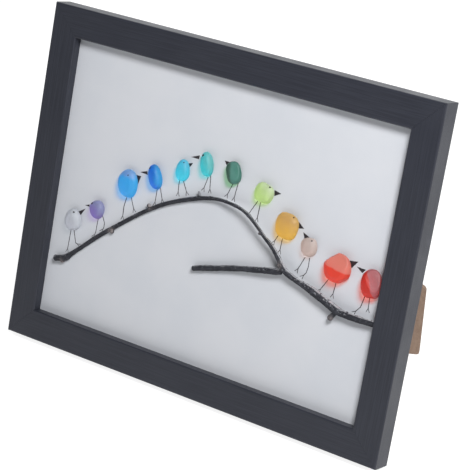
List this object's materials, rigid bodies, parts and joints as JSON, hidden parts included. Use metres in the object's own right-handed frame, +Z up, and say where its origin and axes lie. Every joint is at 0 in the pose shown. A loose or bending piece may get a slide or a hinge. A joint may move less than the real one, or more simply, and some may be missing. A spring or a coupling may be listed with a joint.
{
  "type": "framed sea glass art",
  "caption": "Small landscape picture frame leaning back on a folding easel leg, with sea glass birds perched along a forked twig.",
  "frame": {"origin": "middle of the footprint on the table: frame at the front, foot of the easel leg at the back", "axes": "+X along the picture's width to the viewer's right, +Y backwards away from the viewer, +Z up"},
  "size_m": [0.263, 0.1274, 0.198],
  "materials": {
    "charcoal_paint": "charcoal paint on wood, satin",
    "white_card": "off white, matte",
    "hardboard": "pressed brown fibreboard",
    "bark": "dark bark with pale flecks",
    "zinc_steel": "zinc plated sheet",
    "glass_clear": "frosted sea glass",
    "glass_lilac": "frosted sea glass",
    "glass_sky_blue": "frosted sea glass",
    "glass_cobalt": "frosted sea glass",
    "glass_aqua": "frosted sea glass",
    "glass_turquoise": "frosted sea glass",
    "glass_bottle_green": "frosted sea glass",
    "glass_lime": "frosted sea glass",
    "glass_amber": "frosted sea glass",
    "glass_blush": "frosted sea glass",
    "glass_coral": "frosted sea glass",
    "glass_red": "frosted sea glass"
  },
  "bodies": {
    "frame": {"frame_rail_bottom": "charcoal_paint", "frame_rail_left": "charcoal_paint", "frame_rail_right": "charcoal_paint", "frame_rail_top": "charcoal_paint", "art_board": "white_card", "back_board": "hardboard", "retaining_tab_bottom_1": "zinc_steel", "retaining_tab_bottom_2": "zinc_steel", "retaining_tab_left_1": "zinc_steel", "retaining_tab_left_2": "zinc_steel", "retaining_tab_right_1": "zinc_steel", "retaining_tab_right_2": "zinc_steel", "retaining_tab_top_1": "zinc_steel", "retaining_tab_top_2": "zinc_steel", "wall_hanger": "zinc_steel", "hanger_nail_1": "zinc_steel", "hanger_nail_2": "zinc_steel", "hinge_bracket_frame": "zinc_steel", "hinge_pin": "zinc_steel", "frame_rivet_1": "zinc_steel", "frame_rivet_2": "zinc_steel", "twig": "bark", "sea_glass_clear": "glass_clear", "sea_glass_lilac": "glass_lilac", "sea_glass_sky_blue": "glass_sky_blue", "sea_glass_cobalt": "glass_cobalt", "sea_glass_aqua": "glass_aqua", "sea_glass_turquoise": "glass_turquoise", "sea_glass_bottle_green": "glass_bottle_green", "sea_glass_lime": "glass_lime", "sea_glass_amber": "glass_amber", "sea_glass_blush": "glass_blush", "sea_glass_coral": "glass_coral", "sea_glass_red": "glass_red"},
    "leg": {"easel_leg": "hardboard", "hinge_bracket_leg": "zinc_steel", "leg_rivet_1": "zinc_steel", "leg_rivet_2": "zinc_steel"}
  },
  "joints": [
    {"name": "leg_hinge", "type": "hinge", "parent": "frame", "child": "leg", "pos_m": [-0.023, -0.00877, 0.13452], "axis": [-0.7071, -0.2044, -0.6769], "range_deg": [0, 35]}
  ]
}
